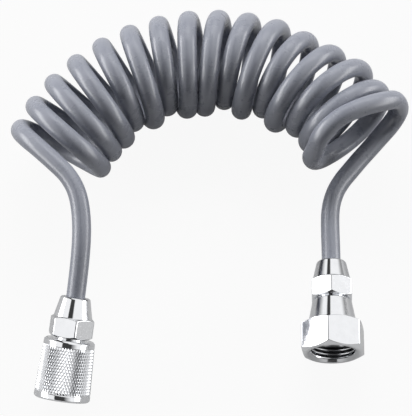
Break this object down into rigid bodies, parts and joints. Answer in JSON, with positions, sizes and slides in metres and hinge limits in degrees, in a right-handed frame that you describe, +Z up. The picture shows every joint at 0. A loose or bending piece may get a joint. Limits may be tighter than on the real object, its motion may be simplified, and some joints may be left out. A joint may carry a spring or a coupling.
{
  "type": "coiled bath sprayer hose",
  "caption": "Coiled polyurethane sprayer hose laid in an arch, with a swivelling hexagonal union nut at the inlet and a knurled hand nut at the outlet.",
  "frame": {"origin": "on the surface that the hose lies on, under the middle of the two couplings", "axes": "+X from the outlet coupling to the inlet coupling, +Y from the couplings to the crown of the coil's arch, +Z up"},
  "size_m": [0.1778, 0.1801, 0.047],
  "materials": {
    "hose": "satin",
    "chrome": "polished",
    "brass": "turned",
    "seal": "matt",
    "nylon": "matt",
    "spring_steel": "rolled"
  },
  "bodies": {
    "hose": {"hose_coil": "hose", "inlet_hose_tail": "hose", "outlet_hose_tail": "hose", "inlet_clamp_nut": "chrome", "inlet_ferrule": "brass", "inlet_stem": "chrome", "outlet_clamp_nut": "chrome", "outlet_ferrule": "brass", "outlet_stem": "chrome", "outlet_o_ring": "seal", "outlet_slip_ring": "nylon", "outlet_snap_ring": "spring_steel"},
    "inlet_nut": {"inlet_union_nut": "chrome", "inlet_washer": "seal"},
    "outlet_nut": {"outlet_knurled_nut": "chrome", "outlet_washer": "seal"}
  },
  "joints": [
    {"name": "inlet_swivel", "type": "hinge", "parent": "hose", "child": "inlet_nut", "pos_m": [0.0561, 0.0145, 0.01421], "axis": [0, -1, 0], "continuous": true},
    {"name": "outlet_swivel", "type": "hinge", "parent": "hose", "child": "outlet_nut", "pos_m": [-0.05441, -0.00485, 0.02139], "axis": [-0.141, -0.8903, -0.433], "continuous": true}
  ]
}
